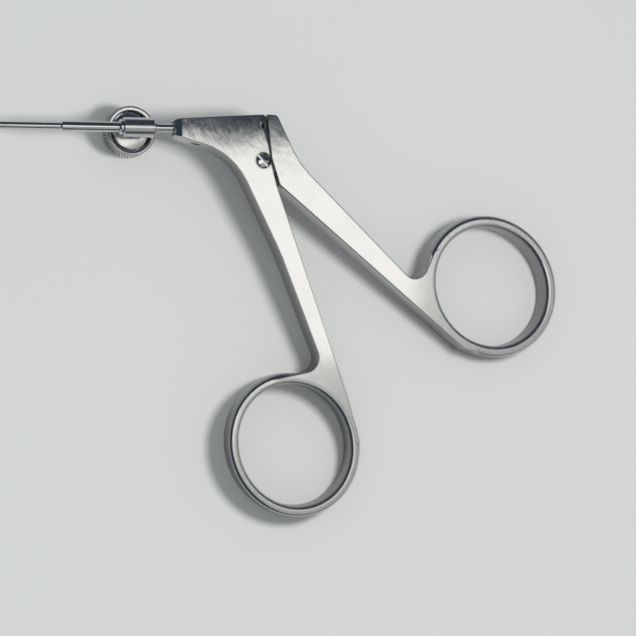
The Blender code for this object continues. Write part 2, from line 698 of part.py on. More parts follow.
def port_cap():
    """The knurled cap, modelled about its own axis with its rim at z = 0."""
    teeth = KNURL_COUNT
    base, land = -CAP_HEIGHT, CAP_LAND
    rows = [(CAP_LIP_RADIUS, 0, 0), (CAP_RADIUS - CAP_CHAMFER, 0, 0), (CAP_RADIUS, -CAP_CHAMFER, 0),
            (CAP_RADIUS, -land, 0), (CAP_RADIUS, -land - KNURL_DEPTH, KNURL_DEPTH),
            (CAP_RADIUS, base + land + KNURL_DEPTH, KNURL_DEPTH), (CAP_RADIUS, base + land, 0),
            (CAP_RADIUS, base + CAP_CHAMFER, 0), (CAP_RADIUS - CAP_CHAMFER, base, 0), (0, base, 0)]
    rows = [(0, base + CAP_FLOOR, 0), (CAP_BORE_RADIUS, base + CAP_FLOOR, 0),
            (CAP_BORE_RADIUS, -CAP_LIP_DEPTH, 0), (CAP_LIP_RADIUS, -CAP_LIP_DEPTH, 0)] + rows
    bm = bmesh.new()
    loops = []
    for radius, height, depth in rows:
        if radius == 0:
            loops.append([bm.verts.new((0, 0, height))])
            continue
        loop = []
        for i in range(2 * teeth):
            angle = math.pi * i / teeth
            reach = radius - depth * (i % 2)
            loop.append(bm.verts.new((reach * math.cos(angle), reach * math.sin(angle), height)))
        loops.append(loop)
    for first, second in zip(loops, loops[1:]):
        for i in range(2 * teeth):
            j = (i + 1) % (2 * teeth)
            corners = [first[i % len(first)], first[j % len(first)],
                       second[j % len(second)], second[i % len(second)]]
            bm.faces.new(list(dict.fromkeys(corners)))
    cap = mesh_object("port_cap", bm)
    cap.location = (PORT_X, SHAFT_HEIGHT, -CAP_TOP)
    return cap


def cap_seal():
    """The washer at the bottom of the cap that closes the port."""
    inner = PORT_BORE_RADIUS / 2
    seal = turned("cap_seal", [(inner, 0), (SEAL_RADIUS, 0), (SEAL_RADIUS, SEAL_THICKNESS),
                               (inner, SEAL_THICKNESS)], 28, hollow=True)
    seal.location = (PORT_X, SHAFT_HEIGHT, -CAP_TOP - CAP_HEIGHT + CAP_FLOOR + SEATED)
    return seal


def rod_travel(lever):
    """Returns how far the rod has moved back at a closing angle of the lever."""
    return ROD_TRAVEL_PER_RADIAN * lever


def drive_pin_x():
    """Returns where the drive pin lies along the shaft at rest."""
    return JAW_PIN_X + DRIVE_PIN_OPEN


def jaw_housing():
    """The forked end of the shaft that carries the cups."""
    front, back = JAW_PIN_X - HOUSING_FRONT, JAW_PIN_X + HOUSING_BACK
    length = back - front
    chamfer = EDGE_CHAMFER
    housing = aim(turned("jaw_housing", [
        (0, 0), (HOUSING_RADIUS - chamfer, 0), (HOUSING_RADIUS, chamfer), (HOUSING_RADIUS, length),
        (SPIGOT_RADIUS, length), (SPIGOT_RADIUS, length + SPIGOT_LENGTH), (0, length + SPIGOT_LENGTH)],
        24), on_axis(front), (1, 0, 0))
    half = drive_half_width() + RUNNING
    slot = box("slot", (front - THROUGH, SHAFT_HEIGHT - THROUGH, -half),
               (JAW_PIN_X + HOUSING_SLOT, SHAFT_HEIGHT + THROUGH, half))
    combine(housing, slot, "DIFFERENCE")
    bore = rod("bore", ROD_RADIUS + RUNNING, on_axis(JAW_PIN_X), on_axis(back + 2 * SPIGOT_LENGTH), 12)
    combine(housing, bore, "DIFFERENCE")
    reach = 2 * HOUSING_RADIUS
    hole = rod("hole", JAW_PIN_RADIUS + SEATED, (JAW_PIN_X, SHAFT_HEIGHT, -reach),
               (JAW_PIN_X, SHAFT_HEIGHT, reach), 14)
    combine(housing, hole, "DIFFERENCE")
    return housing


def drive_half_width():
    """Returns half the width over the drive blade and both jaw plates."""
    return DRIVE_BLADE / 2 + RUNNING + JAW_PLATE


def cross_pin(name, radius, x, half_length, segments=14):
    """Returns a pin through the shaft's axis, square to the handles."""
    return rod(name, radius, (x, SHAFT_HEIGHT, -half_length), (x, SHAFT_HEIGHT, half_length), segments)


def jaw_drive():
    """The blade on the front end of the rod, which runs between the jaw plates."""
    x = drive_pin_x()
    half = DRIVE_BLADE / 2
    tall = DRIVE_BLADE_HEIGHT / 2
    nose = DRIVE_PIN_RADIUS + SEATED + DRIVE_BLADE_LAP
    end = DRIVE_BLADE_LENGTH
    outline = filleted([(-nose, -tall, EDGE_CHAMFER), (end, -tall, 0), (end, tall, 0),
                        (-nose, tall, EDGE_CHAMFER)])
    blade = prism("jaw_drive", outline, -half, half)
    socket = rod("socket", ROD_RADIUS + DRIVE_SOCKET_WALL, (end - DRIVE_BLADE_LAP, 0, 0),
                 (end + DRIVE_SOCKET_LENGTH, 0, 0), 14)
    combine(blade, socket, "UNION")
    bore = rod("bore", ROD_RADIUS + SEATED, (end + DRIVE_BLADE_LAP / 2, 0, 0), (end + THROUGH, 0, 0), 12)
    combine(blade, bore, "DIFFERENCE")
    hole = rod("hole", DRIVE_PIN_RADIUS + SEATED, (0, 0, -THROUGH), (0, 0, THROUGH), 14)
    combine(blade, hole, "DIFFERENCE")
    blade.location = on_axis(x)
    return blade


def cam_path(steps=8):
    """Returns the drive pin's path in the frame of the closed upper jaw, open end first."""
    points = []
    for i in range(steps + 1):
        lever = -OPENING_ANGLE + (CLOSING_ANGLE + OPENING_ANGLE) * i / steps
        reach = DRIVE_PIN_OPEN + rod_travel(lever)
        opening = JAW_OPEN_ANGLE - JAW_TURN_PER_LEVER_TURN * lever
        points.append(Vector((reach * math.cos(opening), reach * math.sin(opening))))
    return points


def capsule(path, radius, steps=6):
    """Returns the outline that keeps a distance from a path, with round ends."""
    left, right = [], []
    for i, point in enumerate(path):
        before, after = path[max(i - 1, 0)], path[min(i + 1, len(path) - 1)]
        along = (after - before).normalized()
        across = Vector((-along.y, along.x)) * radius
        left.append(tuple(point + across))
        right.append(tuple(point - across))
    first = (path[0] - path[1]).normalized()
    last = (path[-1] - path[-2]).normalized()
    start = math.atan2(first.y, first.x)
    end = math.atan2(last.y, last.x)
    cap_end = arc(path[-1], radius, end + math.pi / 2, end - math.pi / 2, steps)[1:-1]
    cap_start = arc(path[0], radius, start + math.pi / 2, start - math.pi / 2, steps)[1:-1]
    return left + cap_end + right[::-1] + cap_start


def cup(name):
    """The half shell of one cup, closed against the plane y = 0 and open towards it."""
    shell_steps, turn_steps = 6, 12
    back = -JAW_NECK

    def half_profile(radius, tip):
        """Returns (x, radius) points from the back of the cup to its round tip."""
        points = [(back, radius)]
        for i in range(shell_steps):
            angle = math.pi / 2 * i / shell_steps
            points.append((tip + radius - radius * math.sin(angle), radius * math.cos(angle)))
        return points

    def half_solid(label, radius, tip, extend):
        """Sweeps a half profile from one side of the rim to the other."""
        bm = bmesh.new()
        profile = half_profile(radius, tip)
        profile[0] = (back + extend, radius)
        loops = []
        for x, reach in profile:
            angles = [math.pi * i / turn_steps for i in range(turn_steps + 1)]
            loops.append([bm.verts.new((x, JAW_FACE_GAP + reach * math.sin(a), reach * math.cos(a)))
                          for a in angles])
        tip_vertex = bm.verts.new((tip, JAW_FACE_GAP, 0))
        for first, second in zip(loops, loops[1:]):
            for i in range(turn_steps):
                bm.faces.new((first[i], first[i + 1], second[i + 1], second[i]))
        for i in range(turn_steps):
            bm.faces.new((loops[-1][i], loops[-1][i + 1], tip_vertex))
        bm.faces.new(loops[0])
        rim = [loop[0] for loop in loops] + [tip_vertex] + [loop[-1] for loop in reversed(loops)]
        bm.faces.new(rim)
        return mesh_object(label, bm)

    outer = half_solid(name, JAW_RADIUS, -JAW_LENGTH, 0.0)
    inner = half_solid("hollow", JAW_RADIUS - JAW_WALL, -JAW_LENGTH + JAW_WALL, -JAW_WALL)
    inner.data.transform(Matrix.Translation((0, -JAW_FACE_GAP / 2, 0)))
    combine(outer, inner, "DIFFERENCE")
    return outer


def jaw(name, side):
    """One cup with its plate and cam slot: side +1 is the upper cup, -1 the lower one."""
    body = cup(name)
    low = DRIVE_BLADE / 2 + RUNNING
    high = low + JAW_PLATE
    path = cam_path()
    eye = arc((0, 0), JAW_EYE_RADIUS, 0, 2 * math.pi, 20)[:-1]
    plate = prism("plate", eye, low, high)
    neck = [(-JAW_NECK - JAW_WALL / 2, JAW_FACE_GAP), (0, -JAW_EYE_RADIUS * 0.9),
            (0, JAW_EYE_RADIUS * 0.9), (-JAW_NECK - JAW_WALL / 2, JAW_RADIUS * 0.7)]
    combine(plate, prism("neck", neck, low + LAP_STEP, high - LAP_STEP), "UNION")
    rim = DRIVE_PIN_RADIUS + RUNNING + SLOT_RIM
    combine(plate, prism("tail", capsule(path, rim), low + LAP_STEP / 2, high - LAP_STEP / 2), "UNION")
    combine(body, plate, "UNION")
    slot = capsule(path, DRIVE_PIN_RADIUS + RUNNING)
    combine(body, prism("slot", slot, -THROUGH, THROUGH), "DIFFERENCE")
    hole = rod("hole", JAW_PIN_RADIUS + RUNNING, (0, 0, -THROUGH), (0, 0, THROUGH), 14)
    combine(body, hole, "DIFFERENCE")
    if side < 0:
        body.data.transform(Matrix.Rotation(math.pi, 4, "X"))
    body.location = (JAW_PIN_X, SHAFT_HEIGHT, 0)
    body.rotation_euler = (0, 0, -side * JAW_OPEN_ANGLE)
    return body


def resting_turn(groups):
    """Returns the rotation that lays the instrument on the lowest point of each of three groups."""
    up = Vector((0, 0, 1))
    for _ in range(12):
        a, b, c = (min(group, key=up.dot) for group in groups)
        up = (b - a).cross(c - a).normalized()
        if up.z < 0:
            up.negate()
    return up.rotation_difference(Vector((0, 0, 1))).to_matrix().to_4x4()


def world_points(piece):
    """Returns the vertices of a piece with its own place applied."""
    return [piece.matrix_world @ v.co for v in piece.data.vertices]


def lay_down(pieces):
    """Parents the pieces to one empty that rests them on the ground about the world's origin."""
    bpy.context.view_layer.update()
    named = {piece.name: piece for piece in pieces}
    supports = [world_points(named[name]) for name in ("port_cap", "fixed_handle", "moving_handle")]
    turn = resting_turn(supports)
    points = [turn @ p for piece in pieces for p in world_points(piece)]
    low = Vector(min(p[i] for p in points) for i in range(3))
    high = Vector(max(p[i] for p in points) for i in range(3))
    shift = Matrix.Translation((-(low.x + high.x) / 2, -(low.y + high.y) / 2, -low.z))
    instrument = bpy.data.objects.new("instrument", None)
    bpy.context.scene.collection.objects.link(instrument)
    instrument.matrix_world = shift @ turn
    for piece in pieces:
        piece.parent = instrument
    bpy.context.view_layer.update()


def main():
    """Builds every piece and lays the instrument down."""
    for old in list(bpy.data.objects):
        bpy.data.objects.remove(old)
    satin = [fixed_handle(), moving_handle(), port_cap()]
    polished = [
        pivot_screw(), set_screw(), rear_tube(), barrel(), port_neck(), sleeve(), collar(), shaft_tube(),
        pull_rod(), rod_ball(), jaw_housing(), jaw_drive(),
        cross_pin("drive_pin", DRIVE_PIN_RADIUS, drive_pin_x(), drive_half_width()),
        cross_pin("jaw_pin", JAW_PIN_RADIUS, JAW_PIN_X, HOUSING_RADIUS * 0.98),
        jaw("upper_jaw", 1), jaw("lower_jaw", -1),
    ]
    rubber = [cap_seal(), rod_seal()]
    for pieces, name in ((satin, "satin_steel"), (polished, "polished_steel"), (rubber, "seal_rubber")):
        for piece in pieces:
            piece.data.materials.clear()
            piece.data.materials.append(finish(name))
            piece.data.shade_smooth()
            piece.data.set_sharp_from_angle(angle=math.radians(35))
    lay_down(satin + polished + rubber)


main()
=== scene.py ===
"""Looks of a pair of ring-handled endoscopic biopsy forceps that lie on a pale grey worktop.

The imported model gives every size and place. The pieces that are added here are drawn about the
pivot of the handles, with +X along the shaft towards the handles, +Y away from the finger rings
and +Z out of the upper face, and are then set down where the model lies.
"""

from __future__ import annotations

import json
import logging
import math
from dataclasses import dataclass, field, replace
from enum import Enum
from typing import Sequence

import bpy
from mathutils import Matrix, Vector

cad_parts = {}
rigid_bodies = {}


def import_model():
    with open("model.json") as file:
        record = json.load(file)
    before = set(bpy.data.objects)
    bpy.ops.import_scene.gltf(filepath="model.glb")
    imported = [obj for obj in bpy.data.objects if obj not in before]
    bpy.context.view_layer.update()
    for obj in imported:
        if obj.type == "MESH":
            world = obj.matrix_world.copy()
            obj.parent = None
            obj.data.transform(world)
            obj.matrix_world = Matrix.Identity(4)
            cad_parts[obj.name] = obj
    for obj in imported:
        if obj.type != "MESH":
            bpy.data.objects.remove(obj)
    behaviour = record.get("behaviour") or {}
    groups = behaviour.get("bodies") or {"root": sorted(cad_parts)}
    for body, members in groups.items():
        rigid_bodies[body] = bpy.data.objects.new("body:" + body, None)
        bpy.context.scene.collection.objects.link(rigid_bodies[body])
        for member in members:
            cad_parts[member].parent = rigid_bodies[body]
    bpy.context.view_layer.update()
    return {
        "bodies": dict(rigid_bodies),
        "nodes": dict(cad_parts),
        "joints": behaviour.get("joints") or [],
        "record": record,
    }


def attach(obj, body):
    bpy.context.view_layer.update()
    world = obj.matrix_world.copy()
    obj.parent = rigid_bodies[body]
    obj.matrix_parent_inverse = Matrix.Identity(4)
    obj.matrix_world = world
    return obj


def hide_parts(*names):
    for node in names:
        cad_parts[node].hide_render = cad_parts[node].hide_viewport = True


MM = 0.001
LOG = logging.getLogger("forceps")

Colour = tuple[float, float, float]
Profile = Sequence[tuple[float, float]]

WAVES_PER_METRE = (260.0, 420.0, 420.0)
SMUDGES_PER_METRE = (150.0, 150.0, 150.0)
SCUFFS_PER_METRE = (700.0, 1500.0, 1500.0)
SCUFF_ONSET = (0.52, 0.72)
SMUDGE_SHADE = 0.95
EDGE_SAMPLES = 4
LINE_RELIEF = 0.02 * MM
WAVE_RELIEF = 0.2 * MM
RUBBER_GRAIN_PER_METRE = (6000.0, 6000.0, 6000.0)
RING_FINISH_AND_SHADE_FROM = 15.5 * MM
RING_FINISH_AND_SHADE_TO = 21.0 * MM
# Painted shade at the bottom of the knurl's grooves.
GROOVE_PAINTED_SHADE = 0.02
WELD = 0.001 * MM
NEAR = 0.01 * MM
FLAT_ANGLE = 0.5
SMOOTH_ANGLE = 36.0


class Body(Enum):
    """The moving bodies of the instrument."""

    ROOT = "root"
    LEVER = "lever"
    DRIVE = "drive"
    UPPER_CUP = "upper_cup"
    LOWER_CUP = "lower_cup"
    CAP = "cap"


class Slot(Enum):
    """The material slots of the record."""

    HANDLES = "satin_handles"
    SCREWS = "screws"
    TUBES = "polished_tubes"
    PORT = "turned_port"
    CAP = "knurled_cap"
    SEALS = "seals"
    ROD = "rod_steel"
    JAWS = "jaw_steel"


@dataclass(frozen=True)
class Extent:
    """The box of a piece along the instrument's own axes.

    Attributes:
        low: Its lowest corner.
        high: Its highest corner.
    """

    low: Vector
    high: Vector

    @property
    def middle(self) -> Vector:
        """The centre of the box."""
        return (self.low + self.high) / 2

    @property
    def size(self) -> Vector:
        """The three edge lengths of the box."""
        return self.high - self.low


@dataclass(frozen=True)
class Instrument:
    """The instrument's own axes, read from its joints, and what the record says of its nodes.

    Attributes:
        nodes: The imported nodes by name.
        place: The instrument's axes in the row frame.
        slots: The material slot of each node.
        bodies: The moving body of each node.
        ring_centres: The middles of the finger rings in the row frame.
    """

    nodes: dict[str, bpy.types.Object]
    place: Matrix
    slots: dict[str, Slot]
    bodies: dict[str, Body]
    ring_centres: tuple[Vector, ...]

    @classmethod
    def from_frame(cls, frame: dict) -> "Instrument":
        """Finds the pivot of the handles and the line of the shaft.


        Returns:
            The instrument with its axes in the row frame.
        """
        record = frame["record"]
        joints = {joint["name"]: joint for joint in frame["joints"]}
        up = -Vector(joints["handle_pivot"]["axis"]).normalized()
        back = Vector(joints["rod_slide"]["axis"])
        back = (back - up * back.dot(up)).normalized()
        turn = Matrix((back, up.cross(back), up)).transposed().to_4x4()
        place = Matrix.Translation(joints["handle_pivot"]["pos_m"]) @ turn
        slots = {part["node"]: Slot(part["material_slot"]) for part in record["subparts"]}
        bodies = {name: Body(body) for body, names in record["behaviour"]["bodies"].items()
                  for name in names}
        boxes = [opening["box_m"] for opening in record["physics"]["openings"]]
        centres = tuple((Vector(low) + Vector(high)) / 2 for low, high in boxes)
        return cls(frame["nodes"], place, slots, bodies, centres)

    def extent(self, node: str) -> Extent:
        """Measures a node along the instrument's axes.

        Args:
            node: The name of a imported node.

        Returns:
            Its box, with the pivot of the handles as the origin.
        """
        inverse = self.place.inverted()
        points = [inverse @ vertex.co for vertex in self.nodes[node].data.vertices]
        low = Vector([min(p[i] for p in points) for i in range(3)])
        high = Vector([max(p[i] for p in points) for i in range(3)])
        return Extent(low, high)

    def radius_between(self, node: str, low: float, high: float) -> float:
        """Measures how far a node reaches from its own upright axis between two heights.

        Args:
            node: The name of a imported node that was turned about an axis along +Z.
            low: The lower height.
            high: The upper height.

        Returns:
            The largest distance from the axis.
        """
        inverse = self.place.inverted()
        middle = self.extent(node).middle
        points = [inverse @ vertex.co for vertex in self.nodes[node].data.vertices]
        return max(math.hypot(p.x - middle.x, p.y - middle.y) for p in points if low <= p.z <= high)

    def to_row(self, point: Sequence[float]) -> Vector:
        """Gives a point of the instrument's axes in the row frame."""
        return self.place @ Vector(point)


class Wiring:
    """The nodes of one material, with short ways to add and join them."""

    def __init__(self, name: str) -> None:
        """Starts an empty material with its output."""
        self.material = bpy.data.materials.new(name)
        self.material.use_nodes = True
        self.tree = self.material.node_tree
        self.tree.nodes.clear()
        self.output = self.tree.nodes.new("ShaderNodeOutputMaterial")

    def node(self, kind: str, inputs: dict | None = None, **settings) -> bpy.types.Node:
        """Adds a node.

        Args:
            kind: The Blender type of the node.
            inputs: Values or sockets for its inputs, by name or number.
            settings: Properties of the node itself.

        Returns:
            The new node.
        """
        made = self.tree.nodes.new(kind)
        for key, value in settings.items():
            setattr(made, key, value)
        for key, value in (inputs or {}).items():
            if isinstance(value, bpy.types.NodeSocket):
                self.tree.links.new(value, made.inputs[key])
            else:
                made.inputs[key].default_value = value
        return made

    def math(self, operation: str, *values) -> bpy.types.NodeSocket:
        """Adds a sum, product or other reckoning of numbers and sockets and returns its result."""
        return self.node("ShaderNodeMath", dict(enumerate(values)), operation=operation).outputs[0]

    def place(self) -> bpy.types.NodeSocket:
        """Gives the piece's object coordinates."""
        return self.node("ShaderNodeTexCoord").outputs["Object"]

    def along(self, turn: Sequence[float], scale: Sequence[float]) -> bpy.types.NodeSocket:
        """Gives object coordinates that are turned first and then stretched.

        Args:
            turn: The Euler angles that bring the pattern's axes to the row frame's.
            scale: How many units of the pattern one metre holds, along each turned axis.

        Returns:
            The vector socket.
        """
        turned = self.node("ShaderNodeMapping", {"Vector": self.place(), "Rotation": turn})
        return self.node("ShaderNodeMapping", {"Vector": turned.outputs[0], "Scale": scale}).outputs[0]

    def noise(self, vector: bpy.types.NodeSocket, detail: float, roughness: float) -> bpy.types.NodeSocket:
        """Adds a noise of unit scale on stretched coordinates and returns its value."""
        made = self.node("ShaderNodeTexNoise", {"Vector": vector, "Scale": 1.0, "Detail": detail,
                                                "Roughness": roughness})
        return made.outputs[0]

    def spread(self, value: bpy.types.NodeSocket, low: float, high: float,
               start: float = 0.3, end: float = 0.7) -> bpy.types.NodeSocket:
        """Maps a range of values, the middle of a noise by default, to the range from low to high."""
        made = self.node("ShaderNodeMapRange", {"Value": value, "From Min": start, "From Max": end,
                                                "To Min": low, "To Max": high})
        return made.outputs[0]

    def far_from(self, point: Sequence[float]) -> bpy.types.NodeSocket:
        """Gives the distance from a point of the row frame."""
        made = self.node("ShaderNodeVectorMath", {0: self.place(), 1: tuple(point)},
                         operation="DISTANCE")
        return made.outputs["Value"]

    def from_cap_axis(self, instrument: Instrument) -> bpy.types.NodeSocket:
        """Gives the distance from the axis of the cap.

        Args:
            instrument: The axes that the cap stands in.

        Returns:
            The distance in metres.
        """
        middle = instrument.to_row(instrument.extent("port_cap").middle)
        up = instrument.place.to_3x3() @ Vector((0, 0, 1))
        away = self.node("ShaderNodeVectorMath", {0: self.place(), 1: tuple(middle)}, operation="SUBTRACT")
        across = self.node("ShaderNodeVectorMath", {0: away.outputs[0], 1: tuple(up)},
                           operation="CROSS_PRODUCT")
        reach = self.node("ShaderNodeVectorMath", {0: across.outputs[0]}, operation="LENGTH")
        return reach.outputs["Value"]


@dataclass(frozen=True)
class Steel:
    """A stainless steel finish.

    Attributes:
        name: The material's name.
        colour: The metal's reflectance.
        roughness: The mean roughness.
        unevenness: How far the roughness strays from its mean.
        lines: The depth of the brushing, as a bump strength.
        pitch: The width of a brushing line in millimetres.
        length: The length of a brushing line in millimetres.
        ripple: The depth of the slow waves that hand polishing leaves, as a bump strength.
        heading: The direction of the brushing in the plane of the handles, in degrees.
        edge: The radius to which the edges are eased, in millimetres.
        ring_roughness: The mean roughness round the finger rings, or nothing where it is the same.
        ring_shade: How much of its reflectance the metal keeps round the finger rings, as painted shade.
        groove: The radii between which painted shade darkens it towards the cap's axis, in metres, or
            nothing.
        scuffs: How much rougher the metal is where it is scuffed.
    """

    name: str
    colour: Colour
    roughness: float
    unevenness: float = 0.02
    lines: float = 0.06
    pitch: float = 0.06
    length: float = 3.0
    ripple: float = 0.03
    heading: float = 0.0
    edge: float = 0.0
    ring_roughness: float | None = None
    ring_shade: float = 1.0
    groove: tuple[float, float] | None = None
    scuffs: float = 0.0

    def make(self, instrument: Instrument) -> bpy.types.Material:
        """Builds the material.

        Args:
            instrument: The axes that the brushing follows.

        Returns:
            The new material.
        """
        wiring = Wiring(self.name)
        turn = instrument.place.to_3x3().to_4x4() @ Matrix.Rotation(math.radians(self.heading), 4, "Z")
        angles = turn.inverted().to_euler()
        fine = 1 / (self.pitch * MM)
        streaks = wiring.noise(wiring.along(angles, (1 / (self.length * MM), fine, fine)), 3.0, 0.6)
        waves = wiring.noise(wiring.along(angles, WAVES_PER_METRE), 3.0, 0.55)
        smudges = wiring.noise(wiring.along(angles, SMUDGES_PER_METRE), 4.0, 0.6)
        blotches = wiring.math("MULTIPLY", wiring.math("ADD", smudges, streaks), 0.5)
        rough = wiring.spread(blotches, self.roughness - self.unevenness,
                              self.roughness + self.unevenness)
        if self.scuffs > 0:
            marks = wiring.noise(wiring.along(angles, SCUFFS_PER_METRE), 5.0, 0.65)
            rough = wiring.math("ADD", rough, wiring.spread(marks, 0.0, self.scuffs, *SCUFF_ONSET))
        # Random smudges darken the tone; the painted shade round the rings and in the knurl's grooves is
        # multiplied in below.
        shade = wiring.spread(smudges, 1.0, SMUDGE_SHADE)
        if self.ring_roughness is not None:
            nearest = wiring.math("MINIMUM", *(wiring.far_from(c) for c in instrument.ring_centres))
            near = wiring.spread(nearest, self.ring_roughness - self.roughness, 0.0,
                                 RING_FINISH_AND_SHADE_FROM, RING_FINISH_AND_SHADE_TO)
            rough = wiring.math("ADD", rough, near)
            # Painted shade: the metal is darkened round the finger rings by ring_shade.
            ring_painted_shade = wiring.spread(nearest, self.ring_shade, 1.0, RING_FINISH_AND_SHADE_FROM, RING_FINISH_AND_SHADE_TO)
            shade = wiring.math("MULTIPLY", shade, ring_painted_shade)
        if self.groove is not None:
            # Painted shade: the knurl darkens towards the cap's axis, into its grooves.
            sunk = wiring.spread(wiring.from_cap_axis(instrument), GROOVE_PAINTED_SHADE, 1.0, *self.groove)
            shade = wiring.math("MULTIPLY", shade, sunk)
        normal = {}
        if self.edge > 0:
            eased = wiring.node("ShaderNodeBevel", {"Radius": self.edge * MM}, samples=EDGE_SAMPLES)
            normal = {"Normal": eased.outputs[0]}
        relief = wiring.node("ShaderNodeBump", {"Height": streaks, "Strength": self.lines,
                                                "Distance": LINE_RELIEF, **normal})
        wavy = wiring.node("ShaderNodeBump", {"Height": waves, "Strength": self.ripple,
                                              "Distance": WAVE_RELIEF, "Normal": relief.outputs[0]})
        tone = wiring.node("ShaderNodeVectorMath", {0: self.colour}, operation="SCALE")
        wiring.tree.links.new(shade, tone.inputs["Scale"])
        shader = wiring.node("ShaderNodeBsdfPrincipled", {
            "Base Color": tone.outputs[0], "Roughness": rough, "Metallic": 1.0,
            "Normal": wavy.outputs[0]})
        wiring.tree.links.new(shader.outputs[0], wiring.output.inputs[0])
        return wiring.material


@dataclass(frozen=True)
class Rubber:
    """A smooth pale seal rubber.

    Attributes:
        name: The material's name.
        colour: The rubber's colour.
    """

    name: str
    colour: Colour

    def make(self, instrument: Instrument) -> bpy.types.Material:
        """Builds the material.

        Args:
            instrument: The axes that its mould marks follow.

        Returns:
            The new material.
        """
        wiring = Wiring(self.name)
        angles = instrument.place.to_3x3().inverted().to_euler()
        grain = wiring.noise(wiring.along(angles, RUBBER_GRAIN_PER_METRE), 2.0, 0.5)
        relief = wiring.node("ShaderNodeBump", {"Height": grain, "Strength": 0.2,
                                                "Distance": LINE_RELIEF})
        shader = wiring.node("ShaderNodeBsdfPrincipled", {
            "Base Color": (*self.colour, 1.0), "Roughness": wiring.spread(grain, 0.5, 0.6),
            "Normal": relief.outputs[0]})
        wiring.tree.links.new(shader.outputs[0], wiring.output.inputs[0])
        return wiring.material


STEEL_WHITE: Colour = (0.63, 0.63, 0.62)
STEEL_GREY: Colour = (0.60, 0.61, 0.62)
# Painted shade: the handles' walls get a darker reflectance than their faces.
SHADED_WALL_GREY: Colour = (0.45, 0.45, 0.45)
# Brighter than the steel: painted highlight on the knurl's teeth.
KNURL_HIGHLIGHT_GREY: Colour = (0.9, 0.9, 0.92)
SEAL_BEIGE: Colour = (0.75, 0.73, 0.68)

HANDLE_FACES = Steel("satin_steel", STEEL_WHITE, 0.07, 0.035, ripple=0.05, edge=0.35,
                     ring_roughness=0.22, scuffs=0.05)
# The walls' steel carries painted shade: a darker reflectance, and darker still round the finger rings.
HANDLE_WALLS = Steel("shaded_wall_steel", SHADED_WALL_GREY, 0.10, 0.03, lines=0.15, edge=0.3,
                     ring_roughness=0.28, ring_shade=0.6)
FINISHES: dict[Slot, Steel | Rubber] = {
    Slot.SCREWS: Steel("screw_steel", STEEL_WHITE, 0.10),
    Slot.TUBES: Steel("drawn_steel", STEEL_WHITE, 0.14, lines=0.1),
    Slot.PORT: Steel("turned_steel", STEEL_WHITE, 0.19, 0.04, lines=0.15),
    Slot.CAP: Steel("knurled_steel", STEEL_GREY, 0.12, lines=0.1),
    Slot.SEALS: Rubber("seal_rubber", SEAL_BEIGE),
    Slot.ROD: Steel("rod_steel", STEEL_GREY, 0.14, lines=0.1),
    Slot.JAWS: Steel("jaw_steel", STEEL_GREY, 0.14, lines=0.1),
}


def select_only(piece: bpy.types.Object) -> None:
    """Makes a piece the only selected one and the active one."""
    bpy.ops.object.select_all(action="DESELECT")
    piece.select_set(True)
    bpy.context.view_layer.objects.active = piece


def settle(piece: bpy.types.Object, name: str, finish: bpy.types.Material,
           smooth_angle: float = SMOOTH_ANGLE) -> bpy.types.Object:
    """Shades a finished piece smoothly up to its edges and gives it its name and material.

    Args:
        piece: The piece.
        name: Its name.
        finish: Its material.
        smooth_angle: The angle in degrees from which an edge stays sharp.

    Returns:
        The piece.
    """
    select_only(piece)
    piece.name = name
    bpy.ops.object.shade_smooth_by_angle(angle=math.radians(smooth_angle))
    weigh = piece.modifiers.new("weigh", "WEIGHTED_NORMAL")
    weigh.keep_sharp = True
    weigh.weight = 100
    bpy.ops.object.modifier_apply(modifier="weigh")
    piece.data.materials.clear()
    piece.data.materials.append(finish)
    return piece


def lathe(profile: Profile, place: Matrix, segments: int = 96) -> bpy.types.Object:
    """Turns a solid piece from a profile, with a flat face over its first and its last ring.

    Args:
        profile: Radii and heights in order, from the foot round the outside to the top.
        place: Where the piece's foot and axis lie in the row frame.
        segments: How many sides the piece has.

    Returns:
        The turned piece.
    """
    radius, height = profile[0]
    bpy.ops.mesh.primitive_circle_add(vertices=segments, radius=radius, fill_type="NGON",
                                      location=(0, 0, 0))
    piece = bpy.context.object
    bpy.ops.object.mode_set(mode="EDIT")
    bpy.ops.mesh.select_all(action="SELECT")
    bpy.ops.transform.translate(value=(0, 0, height))
    bpy.ops.mesh.select_mode(type="EDGE")
    for wider, higher in profile[1:]:
        bpy.ops.mesh.extrude_region_move(TRANSFORM_OT_translate={"value": (0, 0, higher - height)})
        share = wider / radius
        bpy.ops.transform.resize(value=(share, share, 1), center_override=(0, 0, higher))
        radius, height = wider, higher
    bpy.ops.mesh.select_mode(type="VERT")
    bpy.ops.mesh.select_all(action="SELECT")
    bpy.ops.mesh.normals_make_consistent(inside=False)
    bpy.ops.object.mode_set(mode="OBJECT")
    piece.matrix_world = place
    select_only(piece)
    bpy.ops.object.transform_apply(location=True, rotation=True, scale=True)
    return piece


def rounded(centre: tuple[float, float], radius: float, start: float, end: float,
            steps: int = 5) -> list[tuple[float, float]]:
    """Gives the points of a rounding in a profile.

    Args:
        centre: The middle of the arc, as a radius and a height.
        radius: The arc's own radius.
        start: The angle in degrees at which it starts, 0 pointing outwards and 90 upwards.
        end: The angle at which it ends.
        steps: How many chords it has.

    Returns:
        The points in order.
    """
    angles = [math.radians(start + (end - start) * i / steps) for i in range(steps + 1)]
    return [(centre[0] + radius * math.cos(a), centre[1] + radius * math.sin(a)) for a in angles]


